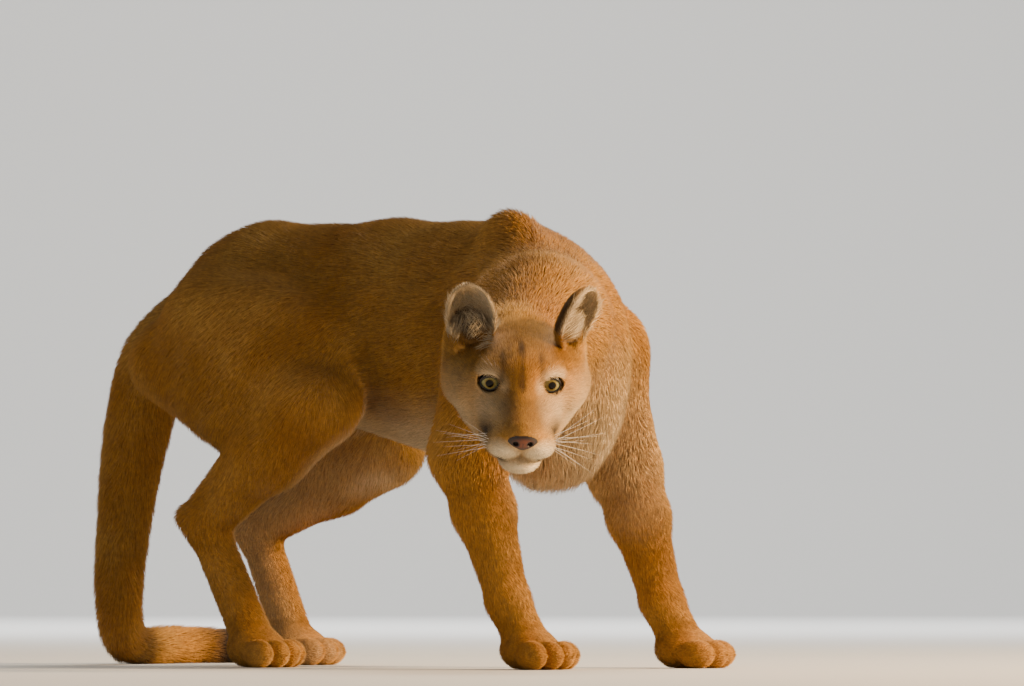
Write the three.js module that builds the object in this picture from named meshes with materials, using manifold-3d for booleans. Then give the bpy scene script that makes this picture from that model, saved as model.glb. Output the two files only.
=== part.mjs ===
// A life-size cougar, standing low on four feet with its head lowered and turned to its right.
// Millimetres, +Z up. The animal faces -Y, so its right side is the -X side. Its feet and the end of its tail rest
// on z = 0, and the origin is under the middle of its box.
// The flesh is a field of rounded masses that melt into one another. The field is turned into closed meshes, which
// are thinned out and then parted with thin cuts where a person would name the parts.
import * as THREE from "three";
import { mergeVertices } from "three/addons/utils/BufferGeometryUtils.js";
import Module from "manifold-3d";

const wasm = await Module();
wasm.setup();

// Driving dimensions.
const GAP = 0.4; // left between two parts that touch
const EYE_RADIUS = 15;
const EYE_SPREAD = 36; // from the head's midline to each eye's centre
const LID_THICKNESS = 3;
const EYE_OPENING = [25, 20]; // the almond between the lids
const NOSE = { at: [0, 90, -34], radii: [19, 16, 10] }; // the bare leather, in the head's frame
const EAR_HEIGHT = 70;
const EAR_HALF_WIDTH = 33;
const EAR_DEPTH = 20;
const EAR_WALL = 5.5;
const EAR_ROOT = 8; // how far up its frame an ear is parted from the head
const TOE_PITCH = 20.5;
const TOE_LENGTH = 27;
const PAW_TOP = 62; // where each paw is parted from its leg
const WAIST_OF_LEG = 250; // where each lower leg is parted from the upper leg

// How finely each region is sampled, and how many triangles are kept of it.
const BODY_MESH = { cell: 8, goal: 3800 };
const HEAD_MESH = { cell: 2.8, goal: 2200 };
const PAW_MESH = { cell: 4.5, goal: 320 };
const ROUND = 18; // sides of an eye or an ear

// Joints of the skeleton: x to the animal's left, y to its rear, z up.
const FORELEG = {
  left: {
    blade: [46, 26, 548],
    shoulder: [92, -70, 412],
    elbow: [124, -92, 258],
    wrist: [119, -150, 88],
    knuckle: [119, -180, 34],
  },
  right: {
    blade: [-46, -22, 560],
    shoulder: [-112, -96, 418],
    elbow: [-128, -14, 268],
    wrist: [-112, -62, 88],
    knuckle: [-111, -90, 34],
  },
};
const HINDLEG = {
  left: {
    hip: [72, 428, 452],
    knee: [126, 292, 292],
    hock: [120, 492, 180],
    knuckle: [115, 430, 34],
  },
  right: {
    hip: [-72, 428, 452],
    knee: [-130, 228, 340],
    hock: [-125, 402, 186],
    knuckle: [-120, 330, 34],
  },
};
// The tail leaves the rump, hangs, and is laid on the floor in a curve to the animal's left: x, y, z and radius.
const TAIL = [
  [0, 500, 470, 48],
  [0, 572, 410, 49],
  [-2, 606, 310, 45],
  [0, 628, 190, 37],
  [10, 644, 84, 32],
  [62, 662, 27, 29],
  [150, 650, 25, 27],
  [232, 598, 22, 24],
];

// The head: where the point midway between the eyes lies, and how the head is turned, in degrees.
const HEAD_AT = [-320, -215, 355];
const HEAD_TURN = 53; // to its right, from straight ahead
const HEAD_PITCH = 27; // nose down
const HEAD_ROLL = -2; // crown towards its own left

const V = (p) => new THREE.Vector3(...p);
const radians = THREE.MathUtils.degToRad;
const mix = (a, b, t) => a.map((v, i) => v + (b[i] - v) * t);
const plus = (a, b) => a.map((v, i) => v + b[i]);
const less = (a, b) => a.map((v, i) => v - b[i]);
const cross = (a, b) => [
  a[1] * b[2] - a[2] * b[1],
  a[2] * b[0] - a[0] * b[2],
  a[0] * b[1] - a[1] * b[0],
];
const dot = (a, b) => a[0] * b[0] + a[1] * b[1] + a[2] * b[2];

// The direction `turn` degrees to the right of -Y and `pitch` degrees down.
function heading(turn, pitch) {
  const level = Math.cos(radians(pitch));
  return [
    -Math.sin(radians(turn)) * level,
    -Math.cos(radians(turn)) * level,
    -Math.sin(radians(pitch)),
  ];
}

// A frame at `at`: y along `forward`, z up, and x to the right of someone who looks along `forward`.
function facing(at, forward, roll = 0) {
  const y = V(forward).normalize();
  const up = new THREE.Vector3(0, 0, 1).applyAxisAngle(y, radians(roll));
  const x = y.clone().cross(up).normalize();
  return new THREE.Matrix4()
    .makeBasis(x, y, x.clone().cross(y))
    .setPosition(...at);
}

// A frame inside another: moved to `at`, then turned by three angles in degrees.
function within(frame, at, turn = [0, 0, 0]) {
  const angles = new THREE.Euler(...turn.map(radians), "ZYX");
  return frame
    .clone()
    .multiply(new THREE.Matrix4().setPosition(...at))
    .multiply(new THREE.Matrix4().makeRotationFromEuler(angles));
}
const placed = (frame, p) => V(p).applyMatrix4(frame).toArray();

const BODY = new THREE.Matrix4();
const HEAD = facing(HEAD_AT, heading(HEAD_TURN, HEAD_PITCH), HEAD_ROLL);
const eyeFrame = (side) =>
  within(HEAD, [side * EYE_SPREAD, -5, 6], [4, 0, -side * 12]);

// An ear's frame, at the middle of its base: z runs up to its tip and y is the way that it opens.
function earFrame(at, tip, opening) {
  const z = V(tip).normalize();
  const x = V(opening).cross(z).normalize();
  const turn = new THREE.Matrix4().makeBasis(x, z.clone().cross(x), z);
  return HEAD.clone().multiply(turn.setPosition(...at));
}
const EAR = {
  right: earFrame([60, -62, 38], [0.2, -0.18, 1], [0.12, 1, 0]),
  left: earFrame([-65, -64, 39], [-0.3, -0.12, 1], [-1.1, 1, 0]),
};
const paws = {
  forepaw_left: [FORELEG.left.knuckle, -6],
  forepaw_right: [FORELEG.right.knuckle, 10],
  hindpaw_left: [HINDLEG.left.knuckle, -8],
  hindpaw_right: [HINDLEG.right.knuckle, 8],
};

// The field: a list of forms. Each says how far a point lies outside it, and over what distance it melts into the
// forms before it.
const flesh = [];

function form(frame, centre, reach, blend, distance) {
  const e = frame.clone().invert().elements;
  const far = (x, y, z) =>
    distance(
      e[0] * x + e[4] * y + e[8] * z + e[12],
      e[1] * x + e[5] * y + e[9] * z + e[13],
      e[2] * x + e[6] * y + e[10] * z + e[14],
    );
  flesh.push({ middle: placed(frame, centre), reach, blend, far });
}

// An ellipsoid.
function mass(frame, centre, [a, b, c], blend, turn) {
  const egg = (x, y, z) => {
    const near = Math.hypot(x / a, y / b, z / c);
    const slope = Math.hypot(x / (a * a), y / (b * b), z / (c * c));
    return slope > 0 ? (near * (near - 1)) / slope : -Math.min(a, b, c);
  };
  const local = within(frame, centre, turn);
  form(local, [0, 0, 0], Math.max(a, b, c), blend, egg);
}

// A rounded bar from one point to another, tapering, and `wide` times as wide along the frame's x axis.
function limb(frame, from, r0, to, r1, blend, wide = 1) {
  const d = less(to, from);
  const long = dot(d, d);
  const bar = (x, y, z) => {
    const [px, py, pz] = [x - from[0], y - from[1], z - from[2]];
    const along = (px * d[0] + py * d[1] + pz * d[2]) / long;
    const t = Math.min(1, Math.max(0, along));
    const out = Math.hypot((px - t * d[0]) / wide, py - t * d[1], pz - t * d[2]);
    return out - (r0 + t * (r1 - r0));
  };
  const reach = Math.sqrt(long) / 2 + Math.max(r0, r1) * Math.max(1, wide);
  form(frame, mix(from, to, 0.5), reach, blend, bar);
}

// A row of bars along a smooth curve through points that each carry a radius.
function chain(frame, points, links, blend) {
  const curve = new THREE.CatmullRomCurve3(points.map((p) => V(p.slice(0, 3))));
  const radius = (t) => {
    const at = t * (points.length - 1);
    const i = Math.min(points.length - 2, Math.floor(at));
    return points[i][3] + (points[i + 1][3] - points[i][3]) * (at - i);
  };
  for (let i = 0; i < links; i++) {
    const [s, t] = [i / links, (i + 1) / links];
    const [from, to] = [curve.getPoint(s).toArray(), curve.getPoint(t).toArray()];
    limb(frame, from, radius(s), to, radius(t), blend);
  }
}

const bothSides = (make) => [-1, 1].forEach(make);

// Trunk: the deep ribcage slung between the shoulder blades, the belly, the back and the sloping rump.
function trunk() {
  mass(BODY, [0, 70, 425], [118, 215, 152], 40);
  mass(BODY, [-4, -58, 372], [96, 104, 136], 50);
  mass(BODY, [0, 275, 444], [103, 190, 126], 60);
  limb(BODY, [0, 0, 512], 60, [0, 180, 520], 60, 40);
  limb(BODY, [0, 180, 520], 60, [0, 372, 528], 60, 40);
  mass(BODY, [0, 400, 481], [96, 104, 104], 40);
  limb(BODY, [0, 430, 478], 78, [0, 520, 425], 60, 40);
}

function foreleg({ blade, shoulder, elbow, wrist, knuckle }) {
  limb(BODY, blade, 33, shoulder, 60, 36);
  limb(BODY, shoulder, 60, elbow, 47, 36);
  const behindBlade = plus(mix(blade, shoulder, 0.55), [0, 48, -10]);
  limb(BODY, behindBlade, 44, plus(elbow, [0, 18, 20]), 36, 40);
  const belly = mix(elbow, wrist, 0.35);
  limb(BODY, elbow, 45, belly, 41, 20);
  limb(BODY, belly, 41, wrist, 29, 20);
  limb(BODY, wrist, 30, knuckle, 29, 14);
}

function hindleg({ hip, knee, hock, knuckle }) {
  const side = Math.sign(hip[0]);
  const thigh = plus(mix(hip, knee, 0.5), [side * 2, 0, 0]);
  const slope = (Math.atan2(hip[2] - knee[2], hip[1] - knee[1]) * 180) / Math.PI;
  mass(BODY, thigh, [60, 142, 112], 50, [slope * 0.8, 0, 0]);
  limb(BODY, hip, 70, knee, 54, 40);
  const seat = [side * 62, 508, 402];
  limb(BODY, seat, 56, plus(mix(knee, hock, 0.35), [0, 0, 8]), 46, 50);
  const calf = mix(knee, hock, 0.4);
  limb(BODY, knee, 52, calf, 45, 25);
  limb(BODY, calf, 45, hock, 28, 25);
  const heel = plus(hock, [0, 30, 12]);
  limb(BODY, plus(mix(knee, hock, 0.5), [0, 20, 22]), 26, heel, 16, 20);
  limb(BODY, hock, 28, heel, 17, 14);
  limb(BODY, hock, 28, knuckle, 28, 18, 1.1);
}

// A paw: broad pad and four toes side by side, the middle two foremost.
function paw([knuckle, turn]) {
  const frame = facing([knuckle[0], knuckle[1], 0], heading(turn, 0));
  mass(frame, [0, 6, 24], [38, 42, 28], 12);
  for (let toe = -1.5; toe <= 1.5; toe++) {
    const forward = 47 - 5 * toe * toe;
    mass(frame, [toe * TOE_PITCH, forward, 18], [12.5, TOE_LENGTH, 20], 6);
  }
}

function neck() {
  limb(BODY, [-8, -30, 455], 102, [-110, -105, 436], 90, 50);
  limb(BODY, [-110, -105, 436], 90, placed(HEAD, [0, -115, -14]), 74, 40);
}

// Head: brain case, brow, cheeks with their ruff, bridge, muzzle with its two whisker pads, jaw and chin.
function head() {
  mass(HEAD, [0, -62, -2], [64, 76, 54], 20);
  mass(HEAD, [0, -22, 14], [50, 44, 32], 20);
  limb(HEAD, [0, -8, 5], 25, [0, 72, -26], 17, 22, 1.25);
  mass(HEAD, [0, 46, -38], [37, 42, 28], 16);
  mass(HEAD, [0, -56, -56], [56, 62, 40], 30);
  limb(HEAD, [0, -20, -66], 28, [0, 52, -73], 18, 20, 1.35);
  mass(HEAD, [0, 63, -72], [26, 21, 16], 10);
  bothSides((side) => {
    mass(HEAD, [side * 33, -4, 22], [21, 17, 12], 12);
    mass(HEAD, [side * 48, -36, -16], [40, 48, 38], 22);
    mass(HEAD, [side * 61, -68, -22], [34, 38, 40], 26);
    limb(HEAD, [side * 38, -30, -50], 29, [side * 24, 24, -62], 20, 20);
    mass(HEAD, [side * 32, 8, -30], [22, 40, 28], 16);
    mass(HEAD, [side * 21, 60, -48], [24, 27, 21], 9);
    mass(eyeFrame(side), [0, 0, 0], Array(3).fill(EYE_RADIUS + LID_THICKNESS), 8);
  });
  mass(HEAD, [0, 82, -34], [18, 13, 12], 6);
}

trunk();
neck();
Object.values(FORELEG).forEach(foreleg);
Object.values(HINDLEG).forEach(hindleg);
Object.values(paws).forEach(paw);
chain(BODY, TAIL, 28, 14);
head();

// The field on a grid of points between two corners.
function sample(low, high, cell) {
  const size = less(high, low).map((v) => Math.ceil(v / cell) + 1);
  const [nx, ny, nz] = size;
  const value = new Float32Array(nx * ny * nz).fill(1000);
  for (const { middle, reach, blend, far } of flesh) {
    const rim = reach + blend + 2 * cell;
    const nearest = (v, i) => Math.max(0, Math.floor((v - rim - low[i]) / cell));
    const farthest = (v, i) =>
      Math.min(size[i] - 1, Math.ceil((v + rim - low[i]) / cell));
    const first = middle.map(nearest);
    const last = middle.map(farthest);
    for (let k = first[2]; k <= last[2]; k++)
      for (let j = first[1]; j <= last[1]; j++)
        for (let i = first[0]; i <= last[0]; i++) {
          const at = i + nx * (j + ny * k);
          const was = value[at];
          const d = far(low[0] + i * cell, low[1] + j * cell, low[2] + k * cell);
          const close = Math.max(blend - Math.abs(was - d), 0) / blend;
          value[at] = Math.min(was, d) - (close * close * blend) / 4;
        }
  }
  // Empty sides close the surface where it would leave the grid.
  for (let k = 0; k < nz; k++)
    for (let j = 0; j < ny; j++)
      for (let i = 0; i < nx; i++)
        if (i * j * k === 0 || i === nx - 1 || j === ny - 1 || k === nz - 1)
          value[i + nx * (j + ny * k)] = cell;
  return { value, size };
}

// Marching tetrahedra, six round the diagonal of each cell, which always gives a closed surface.
const TETRAHEDRA = [
  [0, 1, 3, 7],
  [0, 3, 2, 7],
  [0, 2, 6, 7],
  [0, 6, 4, 7],
  [0, 4, 5, 7],
  [0, 5, 1, 7],
];
function surface(low, high, cell) {
  const { value, size } = sample(low, high, cell);
  const [nx, ny, nz] = size;
  const points = [];
  const faces = [];
  const seen = new Map();
  const place = (n) => [n % nx, Math.floor(n / nx) % ny, Math.floor(n / (nx * ny))];
  const crossing = (m, n) => {
    const [a, b] = m < n ? [m, n] : [n, m];
    const key = a * value.length + b;
    if (!seen.has(key)) {
      const part = value[a] / (value[a] - value[b]);
      const t = Math.min(0.97, Math.max(0.03, part));
      const at = mix(place(a), place(b), t).map((v, i) => low[i] + cell * v);
      seen.set(key, points.push(at) - 1);
    }
    return seen.get(key);
  };
  const add = (face, outward) => {
    const [p, q, r] = face.map((n) => points[n]);
    const ahead = dot(cross(less(q, p), less(r, p)), outward) > 0;
    faces.push(ahead ? face : [face[0], face[2], face[1]]);
  };
  const middle = (list) =>
    list
      .map(place)
      .reduce(plus)
      .map((v) => v / list.length);
  const level = [0, 1, nx, nx + 1];
  const corner = [...level, ...level.map((s) => s + nx * ny)];
  for (let k = 0; k < nz - 1; k++)
    for (let j = 0; j < ny - 1; j++)
      for (let i = 0; i < nx - 1; i++) {
        const base = i + nx * (j + ny * k);
        const solid = corner.filter((s) => value[base + s] < 0).length;
        if (solid === 0 || solid === 8) continue;
        for (const tetra of TETRAHEDRA) {
          const corners = tetra.map((c) => base + corner[c]);
          const inner = corners.filter((c) => value[c] < 0);
          const outer = corners.filter((c) => value[c] >= 0);
          if (!inner.length || !outer.length) continue;
          const outward = less(middle(outer), middle(inner));
          const cut = inner.map((a) => outer.map((b) => crossing(a, b)));
          if (inner.length === 2) {
            add([cut[0][0], cut[0][1], cut[1][0]], outward);
            add([cut[1][0], cut[0][1], cut[1][1]], outward);
          } else add(cut.flat(), outward);
        }
      }
  return { points, faces };
}

// The sum of squared distances from a point to a set of planes, held as ten numbers.
function planeQuadric(p, normal, weight) {
  const [a, b, c] = normal;
  const d = -dot(normal, p);
  const terms = [a * a, a * b, a * c, a * d, b * b, b * c, b * d, c * c, c * d, d * d];
  return terms.map((t) => t * weight);
}
function quadricAt(q, [x, y, z]) {
  const square = q[0] * x * x + q[4] * y * y + q[7] * z * z;
  const mixed = q[1] * x * y + q[2] * x * z + q[5] * y * z;
  const linear = q[3] * x + q[6] * y + q[8] * z;
  return square + 2 * (mixed + linear) + q[9];
}
// The point where the sum is least, or undefined where it is not well fixed.
function quadricLeast(q) {
  const rows = [
    [q[0], q[1], q[2]],
    [q[1], q[4], q[5]],
    [q[2], q[5], q[7]],
  ];
  const far = [-q[3], -q[6], -q[8]];
  const det = dot(rows[0], cross(rows[1], rows[2]));
  if (Math.abs(det) < 1e-3 * Math.abs(q[0] * q[4] * q[7])) return undefined;
  return [
    dot(far, cross(rows[1], rows[2])) / det,
    dot(far, cross(rows[2], rows[0])) / det,
    dot(far, cross(rows[0], rows[1])) / det,
  ];
}

// Thins a closed mesh to about `goal` triangles: the edges whose loss changes the shape least are drawn together,
// as long as the mesh stays closed and no face turns over.
function thinned({ points, faces }, goal) {
  const near = points.map(() => new Set());
  faces.forEach((f, n) => f.forEach((v) => near[v].add(n)));
  const normal = ([a, b, c]) => cross(less(b, a), less(c, a));
  const quadric = points.map(() => Array(10).fill(0));
  for (const f of faces) {
    const n = normal(f.map((v) => points[v]));
    const area = Math.hypot(...n) || 1e-12;
    const plane = planeQuadric(points[f[0]], n.map((v) => v / area), area);
    f.forEach((v) => (quadric[v] = plus(quadric[v], plane)));
  }
  const ring = (v) =>
    new Set([...near[v]].flatMap((n) => faces[n]).filter((w) => w !== v));
  const plan = (a, b) => {
    const [p, r] = [points[a], points[b]];
    const q = plus(quadric[a], quadric[b]);
    const span = Math.hypot(...less(p, r));
    const options = [mix(p, r, 0.5), p, r];
    const least = quadricLeast(q);
    if (least && Math.hypot(...less(least, options[0])) < span) options.push(least);
    const costs = options.map((o) => quadricAt(q, o));
    const cost = Math.min(...costs);
    return { a, b, q, at: options[costs.indexOf(cost)], cost: cost + 1e-4 * span ** 4 };
  };
  const turnsOver = (v, other, at) =>
    [...near[v]].some((n) => {
      const f = faces[n];
      if (f.includes(other)) return false;
      const before = normal(f.map((w) => points[w]));
      const after = normal(f.map((w) => (w === v ? at : points[w])));
      return dot(before, after) < 0.3 * Math.hypot(...before) * Math.hypot(...after);
    });
  let left = faces.length;
  while (left > goal) {
    const edges = [];
    for (const f of faces)
      if (f)
        for (let i = 0; i < 3; i++) {
          const [a, b] = [f[i], f[(i + 1) % 3]];
          if (a < b) edges.push(plan(a, b));
        }
    edges.sort((e, f) => e.cost - f.cost);
    const busy = new Set();
    const most = Math.ceil(edges.length / 6);
    let done = 0;
    for (const { a, b, q, at } of edges) {
      if (left <= goal || done >= most) break;
      if (busy.has(a) || busy.has(b)) continue;
      const [ra, rb] = [ring(a), ring(b)];
      if ([...ra].filter((v) => rb.has(v)).length !== 2) continue;
      if (turnsOver(a, b, at) || turnsOver(b, a, at)) continue;
      for (const n of [...near[b]]) {
        const f = faces[n];
        if (f.includes(a)) {
          f.forEach((v) => near[v].delete(n));
          faces[n] = null;
          left--;
        } else {
          near[b].delete(n);
          near[a].add(n);
          faces[n] = f.map((v) => (v === b ? a : v));
        }
      }
      points[a] = at;
      quadric[a] = q;
      [a, b, ...ra, ...rb].forEach((v) => busy.add(v));
      done++;
    }
    if (!done) break;
  }
  return { points, faces: faces.filter(Boolean) };
}

// Between three.js geometry and manifold-3d's solids.
function solidOf(geometry, frame = BODY) {
  const bare = geometry.clone().applyMatrix4(frame);
  ["normal", "uv"].forEach((name) => bare.deleteAttribute(name));
  const merged = mergeVertices(bare, 1e-4);
  return new wasm.Manifold(
    new wasm.Mesh({
      numProp: 3,
      vertProperties: new Float32Array(merged.attributes.position.array),
      triVerts: new Uint32Array(merged.index.array),
    }),
  );
}
function geometryOf(solid) {
  const { vertProperties, triVerts } = solid.getMesh();
  const geometry = new THREE.BufferGeometry();
  const position = new THREE.BufferAttribute(new Float32Array(vertProperties), 3);
  geometry.setAttribute("position", position);
  geometry.setIndex(new THREE.BufferAttribute(new Uint32Array(triVerts), 1));
  geometry.computeVertexNormals();
  return geometry;
}
const box = (frame, low, high, grow = 0) => {
  const size = less(high, low).map((v) => v + 2 * grow);
  return solidOf(new THREE.BoxGeometry(...size), within(frame, mix(low, high, 0.5)));
};
const ball = (frame, at, [a, b, c], sides = ROUND) => {
  const round = new THREE.SphereGeometry(1, sides, Math.round(sides / 2));
  return solidOf(round.scale(a, b, c), within(frame, at));
};
const rod = (frame, at, radius, length) =>
  solidOf(new THREE.CylinderGeometry(radius, radius, length, 2 * ROUND), within(frame, at));
const largest = (solid) =>
  solid.decompose().reduce((a, b) => (a.volume() > b.volume() ? a : b));

function fleshSolid(low, high, { cell, goal }) {
  const { points, faces } = thinned(surface(low, high, cell), goal);
  const geometry = new THREE.BufferGeometry();
  const position = new THREE.Float32BufferAttribute(points.flat(), 3);
  geometry.setAttribute("position", position);
  geometry.setIndex(faces.flat());
  return largest(solidOf(geometry));
}

// An ear: a rounded half cup, open to the front, its wall left between an outer and an inner egg.
const EAR_HALF = EAR_HEIGHT / 2 + 10;
const EAR_MIDDLE = [0, 0, EAR_HEIGHT - EAR_HALF];
const earRound = (frame, grow = 0) =>
  ball(frame, EAR_MIDDLE, [EAR_HALF_WIDTH, EAR_DEPTH, EAR_HALF].map((r) => r + grow));
function earSolid(frame) {
  const inside = [EAR_HALF_WIDTH - EAR_WALL, EAR_DEPTH, EAR_HALF - EAR_WALL];
  const front = box(frame, [-60, 6, -60], [60, 60, 120]);
  return earRound(frame)
    .subtract(ball(frame, plus(EAR_MIDDLE, [0, EAR_WALL, 2]), inside))
    .subtract(front);
}

// A closed round bar along a smooth curve, used to cut the line of the mouth.
function tube(frame, points, radius, rings, sides = 8) {
  const curve = new THREE.CatmullRomCurve3(points.map(V));
  const { normals, binormals } = curve.computeFrenetFrames(rings, false);
  const verts = [];
  for (let i = 0; i <= rings; i++)
    for (let s = 0; s < sides; s++) {
      const turn = (2 * Math.PI * s) / sides;
      const at = curve.getPointAt(i / rings);
      at.addScaledVector(normals[i], radius * Math.cos(turn));
      verts.push(at.addScaledVector(binormals[i], radius * Math.sin(turn)).toArray());
    }
  const faces = [];
  for (let i = 0; i < rings; i++)
    for (let s = 0; s < sides; s++) {
      const [a, b] = [i * sides + s, i * sides + ((s + 1) % sides)];
      faces.push(a, b, b + sides, a, b + sides, a + sides);
    }
  const last = rings * sides;
  for (let s = 1; s < sides - 1; s++)
    faces.push(0, s + 1, s, last, last + s, last + s + 1);
  const geometry = new THREE.BufferGeometry();
  geometry.setAttribute("position", new THREE.Float32BufferAttribute(verts.flat(), 3));
  geometry.setIndex(faces);
  return solidOf(geometry, frame);
}

// Nodes: name, solid and colour.
const COLOUR = { coat: 0xb07a48, eye: 0x8d8a5a, nose: 0x8a4f42, ear: 0x9a7350 };
const nodes = {};

// Takes `name` out of a solid where it lies in a box, and returns what is left of the solid.
function part(solid, name, frame, low, high) {
  nodes[name] = largest(solid.intersect(box(frame, low, high)));
  return solid.subtract(box(frame, low, high, GAP));
}

const aboveFloor = box(BODY, [-900, -900, 0], [900, 900, 900]);

// Each paw is sampled finely by itself and meets its leg at one level.
for (const [name, [knuckle]] of Object.entries(paws)) {
  const [x, y] = knuckle;
  const whole = fleshSolid([x - 75, y - 100, -9], [x + 75, y + 90, 81], PAW_MESH);
  part(whole, name, BODY, [-900, -900, 0], [900, 900, PAW_TOP]);
}

// The body from the paws up, parted into legs, tail and neck.
const bodyLow = [-368, -330, -20];
const bodyHigh = [300, 720, 640];
let body = fleshSolid(bodyLow, bodyHigh, BODY_MESH).intersect(aboveFloor);
for (const [x, y] of Object.values(paws).map(([knuckle]) => knuckle))
  body = body.subtract(box(BODY, [x - 80, y - 110, -9], [x + 80, y + 75, PAW_TOP + GAP]));
const TAIL_ROOT = within(BODY, [0, 560, 420], [35, 0, 0]);
body = part(body, "tail_end", BODY, [30, 560, -1], [300, 720, 90]);
body = part(body, "tail_middle", BODY, [-90, 560, -1], [90, 720, 200]);
body = part(body, "tail_base", TAIL_ROOT, [-70, -5, -300], [70, 100, 40]);
const HEAD_REAR = -96;
const NECK_ROOT = facing([-146, -122, 432], less(HEAD_AT, [-110, -105, 436]));
body = part(body, "neck", NECK_ROOT, [-140, 0, -150], [140, 300, 160]);
for (const [side, sign] of [["left", 1], ["right", -1]]) {
  const span = (near, far) => (sign > 0 ? [near, far] : [-far, -near]);
  const legPart = (name, x, y, z) => {
    const [x0, x1] = span(...x);
    body = part(body, name, BODY, [x0, y[0], z[0]], [x1, y[1], z[1]]);
  };
  const lower = [PAW_TOP + GAP, WAIST_OF_LEG];
  legPart(`foreleg_${side}_lower`, [30, 240], [-240, 60], lower);
  legPart(`foreleg_${side}_upper`, [72, 240], [-240, 72], [WAIST_OF_LEG + GAP, 470]);
  legPart(`hindleg_${side}_shank`, [30, 240], [200, 560], lower);
  legPart(`hindleg_${side}_thigh`, [62, 240], [175, 600], [WAIST_OF_LEG + GAP, 520]);
}
nodes.torso = largest(body);

// The neck stops at a plane behind the head.
const headRegion = [[-140, HEAD_REAR, -170], [140, 130, 170]];
nodes.neck = largest(nodes.neck.subtract(box(HEAD, ...headRegion, GAP)));

// The head, with its ears joined on before they are parted, and the openings of its face cut in.
let skull = fleshSolid([-446, -340, 216], [-158, -60, 528], HEAD_MESH);
skull = largest(skull.intersect(box(HEAD, ...headRegion)));
for (const [side, frame] of Object.entries(EAR)) {
  const above = (level) => box(frame, [-60, -60, level], [60, 60, 120]);
  const cup = earSolid(frame);
  nodes[`ear_${side}`] = largest(cup.intersect(above(EAR_ROOT)));
  const room = earRound(frame, GAP).intersect(above(EAR_ROOT - GAP));
  skull = skull.add(cup).subtract(room);
}
const [eyeWide, eyeHigh] = EYE_OPENING.map((v) => v / 2);
const lidArc = (eyeWide ** 2 + eyeHigh ** 2) / (2 * eyeHigh);
bothSides((side) => {
  const frame = eyeFrame(side);
  const socket = Array(3).fill(EYE_RADIUS + GAP);
  const slant = within(frame, [0, 0, 0], [0, side * 10, 0]);
  const rise = lidArc - eyeHigh;
  const almond = rod(slant, [0, EYE_RADIUS, rise], lidArc, 24).intersect(
    rod(slant, [0, EYE_RADIUS, -rise], lidArc, 24),
  );
  skull = skull.subtract(ball(frame, [0, 0, 0], socket)).subtract(almond);
  const name = side > 0 ? "eye_right" : "eye_left";
  nodes[name] = ball(frame, [0, 0, 0], Array(3).fill(EYE_RADIUS));
});
const lip = [[0, 87, -60], [16, 86, -64], [32, 72, -65], [43, 48, -61], [49, 28, -52]];
bothSides((side) => {
  const line = lip.map(([u, v, w]) => [side * u, v, w]);
  skull = skull.subtract(tube(HEAD, line, 2.8, 14));
});
skull = skull.subtract(tube(HEAD, [[0, 98, -44], [0, 93, -54], [0, 86, -66]], 2, 4));
bothSides((side) => {
  skull = skull.subtract(ball(HEAD, [side * 9, 95, -35], [3.6, 7, 3.2], 8));
});
nodes.nose = largest(skull.intersect(ball(HEAD, NOSE.at, NOSE.radii)));
skull = skull.subtract(ball(HEAD, NOSE.at, NOSE.radii.map((r) => r + GAP)));
nodes.head = largest(skull);

// Everything is moved so that the origin is under the middle of the animal's box.
const whole = new THREE.Group();
for (const [name, solid] of Object.entries(nodes)) {
  const kind = name.split("_")[0];
  const colour = COLOUR[kind] ?? COLOUR.coat;
  const material = new THREE.MeshStandardMaterial({ color: colour, roughness: 0.9 });
  const mesh = new THREE.Mesh(geometryOf(solid), material);
  mesh.name = name;
  whole.add(mesh);
}
const bounds = new THREE.Box3().setFromObject(whole);
const middle = bounds.getCenter(new THREE.Vector3());
for (const mesh of whole.children)
  mesh.geometry.translate(-middle.x, -middle.y, -bounds.min.z);

export default whole;
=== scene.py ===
import bpy
import numpy as np
from mathutils import Matrix, Vector


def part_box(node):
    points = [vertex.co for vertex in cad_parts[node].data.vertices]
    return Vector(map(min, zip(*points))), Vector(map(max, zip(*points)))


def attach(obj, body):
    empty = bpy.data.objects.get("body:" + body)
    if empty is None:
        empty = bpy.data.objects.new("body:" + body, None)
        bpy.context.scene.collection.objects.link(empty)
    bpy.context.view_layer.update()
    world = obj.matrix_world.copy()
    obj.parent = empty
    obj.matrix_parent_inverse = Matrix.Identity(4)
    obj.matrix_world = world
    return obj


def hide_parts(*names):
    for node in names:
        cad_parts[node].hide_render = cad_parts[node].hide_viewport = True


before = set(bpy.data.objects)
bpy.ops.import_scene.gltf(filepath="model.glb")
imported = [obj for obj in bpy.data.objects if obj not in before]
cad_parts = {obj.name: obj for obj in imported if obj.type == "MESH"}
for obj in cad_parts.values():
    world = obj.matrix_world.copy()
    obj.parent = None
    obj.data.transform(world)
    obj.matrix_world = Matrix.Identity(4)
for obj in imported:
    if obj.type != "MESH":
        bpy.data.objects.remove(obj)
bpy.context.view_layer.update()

# How the animal stands. Its trunk faces -Y, and the head is turned to its right and lowered.
# Places are in millimetres from the withers' foot on the floor, as in the solids, x to the animal's left.
# The solids were then moved to the middle of their box, and the right eye tells how far.
HEAD_AT = (-320, -215, 355)
HEAD_TURN, HEAD_PITCH, HEAD_ROLL = 53, 27, -2
EYE_RADIUS = 15
EYE_SPREAD = 36


def unit(v):
    v = np.asarray(v, float)
    return v / np.linalg.norm(v)


def facing(at, forward, roll=0):
    """A frame at `at`: y along `forward`, z up, x to the right of someone who looks along `forward`."""
    y = unit(forward)
    turn = Matrix.Rotation(np.radians(roll), 3, Vector(y))
    x = unit(np.cross(y, turn @ Vector((0, 0, 1))))
    return framed(at, x, y, np.cross(x, y))


def framed(at, x, y, z):
    m = np.eye(4)
    m[:3, 0], m[:3, 1], m[:3, 2], m[:3, 3] = x, y, z, at
    return m


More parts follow.
